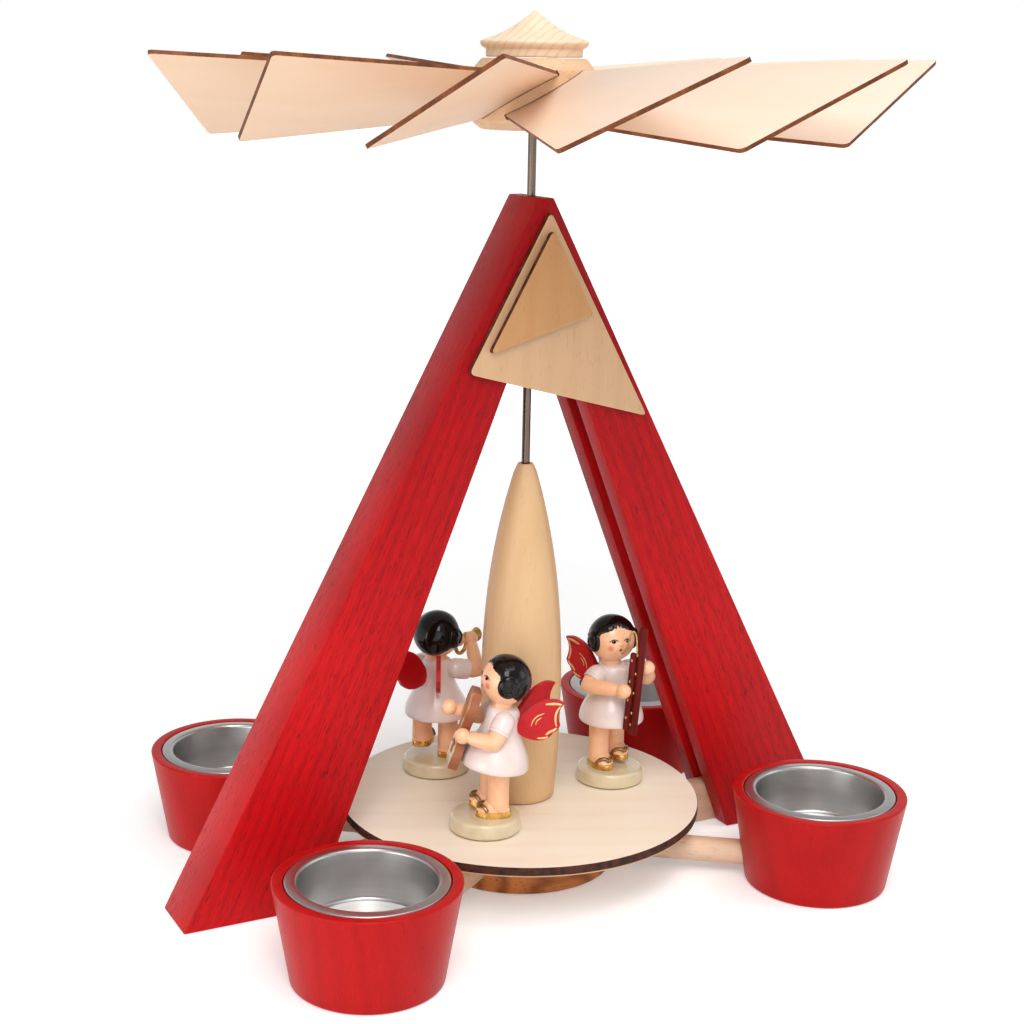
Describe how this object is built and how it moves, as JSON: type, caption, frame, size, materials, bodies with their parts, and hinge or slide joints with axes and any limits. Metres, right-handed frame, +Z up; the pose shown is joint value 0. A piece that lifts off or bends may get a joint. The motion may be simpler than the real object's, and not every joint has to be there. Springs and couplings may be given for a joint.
{
  "type": "christmas pyramid",
  "caption": "Tea-light christmas pyramid: a red A-frame on candle-cup arms carries a turning carousel of angel musicians under a wheel of pitched blades.",
  "frame": {"origin": "on the table plane, on the axis that the carousel turns about", "axes": "+Z up along the shaft, X along the A-frame's crossbar, -Y the front with the gable boards"},
  "size_m": [0.2336, 0.2336, 0.2671],
  "materials": {
    "red_ash": "red stain on open-grained wood, satin",
    "beech": "natural, fine sanded",
    "oiled_wood": "brown oiled, satin",
    "maple_ply": "pale ply, edges burnt brown by the cut, satin",
    "turned_maple": "turned, satin",
    "steel": "drawn wire, polished",
    "spun_steel": "spun, satin",
    "white_lacquer": "white gloss lacquer",
    "skin_lacquer": "peach gloss lacquer",
    "head_lacquer": "peach gloss lacquer with black painted hair",
    "wing_red": "red gloss lacquer with gold edging",
    "plinth_lacquer": "grey-beige gloss lacquer",
    "instrument_brown": "dark red-brown lacquer",
    "gold_paint": "gold paint, satin"
  },
  "bodies": {
    "frame": {"left_leg": "red_ash", "right_leg": "red_ash", "crossbar": "beech", "gable_plate": "maple_ply", "gable_panel": "maple_ply", "base_hub": "oiled_wood", "thrust_bearing": "steel", "candle_arm_front_left": "beech", "candle_cup_front_left": "red_ash", "candle_arm_front_right": "beech", "candle_cup_front_right": "red_ash", "candle_arm_back_right": "beech", "candle_cup_back_right": "red_ash", "candle_arm_back_left": "beech", "candle_cup_back_left": "red_ash"},
    "carousel": {"shaft": "steel", "turntable": "maple_ply", "spindle_sleeve": "turned_maple", "fiddle_angel_plinth": "plinth_lacquer", "fiddle_angel_legs": "skin_lacquer", "fiddle_angel_dress": "white_lacquer", "fiddle_angel_head": "head_lacquer", "fiddle_angel_left_arm": "skin_lacquer", "fiddle_angel_right_arm": "skin_lacquer", "fiddle_angel_wings": "wing_red", "fiddle_angel_fiddle": "instrument_brown", "bassoon_angel_plinth": "plinth_lacquer", "bassoon_angel_legs": "skin_lacquer", "bassoon_angel_dress": "white_lacquer", "bassoon_angel_head": "head_lacquer", "bassoon_angel_left_arm": "skin_lacquer", "bassoon_angel_right_arm": "skin_lacquer", "bassoon_angel_wings": "wing_red", "bassoon_angel_bassoon": "instrument_brown", "trumpet_angel_plinth": "plinth_lacquer", "trumpet_angel_legs": "skin_lacquer", "trumpet_angel_dress": "white_lacquer", "trumpet_angel_head": "head_lacquer", "trumpet_angel_left_arm": "skin_lacquer", "trumpet_angel_right_arm": "skin_lacquer", "trumpet_angel_wings": "wing_red", "trumpet_angel_trumpet": "gold_paint"},
    "blade_wheel": {"wheel_hub": "turned_maple", "wheel_cap": "turned_maple", "blade_01": "maple_ply", "blade_02": "maple_ply", "blade_03": "maple_ply", "blade_04": "maple_ply", "blade_05": "maple_ply", "blade_06": "maple_ply", "blade_07": "maple_ply", "blade_08": "maple_ply", "blade_09": "maple_ply", "blade_10": "maple_ply", "blade_11": "maple_ply", "blade_12": "maple_ply"},
    "tealight_insert_front_left": {"tealight_insert_front_left": "spun_steel"},
    "tealight_insert_front_right": {"tealight_insert_front_right": "spun_steel"},
    "tealight_insert_back_right": {"tealight_insert_back_right": "spun_steel"},
    "tealight_insert_back_left": {"tealight_insert_back_left": "spun_steel"}
  },
  "joints": [
    {"name": "carousel_turn", "type": "hinge", "parent": "frame", "child": "carousel", "pos_m": [0, 0, 0.0133], "axis": [0, 0, 1], "continuous": true},
    {"name": "wheel_pull_off", "type": "slide", "parent": "carousel", "child": "blade_wheel", "axis": [0, 0, 1], "range_m": [0, 0.016]},
    {"name": "insert_lift_front_left", "type": "slide", "parent": "frame", "child": "tealight_insert_front_left", "axis": [0, 0, 1], "range_m": [0, 0.02]},
    {"name": "insert_lift_front_right", "type": "slide", "parent": "frame", "child": "tealight_insert_front_right", "axis": [0, 0, 1], "range_m": [0, 0.02]},
    {"name": "insert_lift_back_right", "type": "slide", "parent": "frame", "child": "tealight_insert_back_right", "axis": [0, 0, 1], "range_m": [0, 0.02]},
    {"name": "insert_lift_back_left", "type": "slide", "parent": "frame", "child": "tealight_insert_back_left", "axis": [0, 0, 1], "range_m": [0, 0.02]}
  ]
}
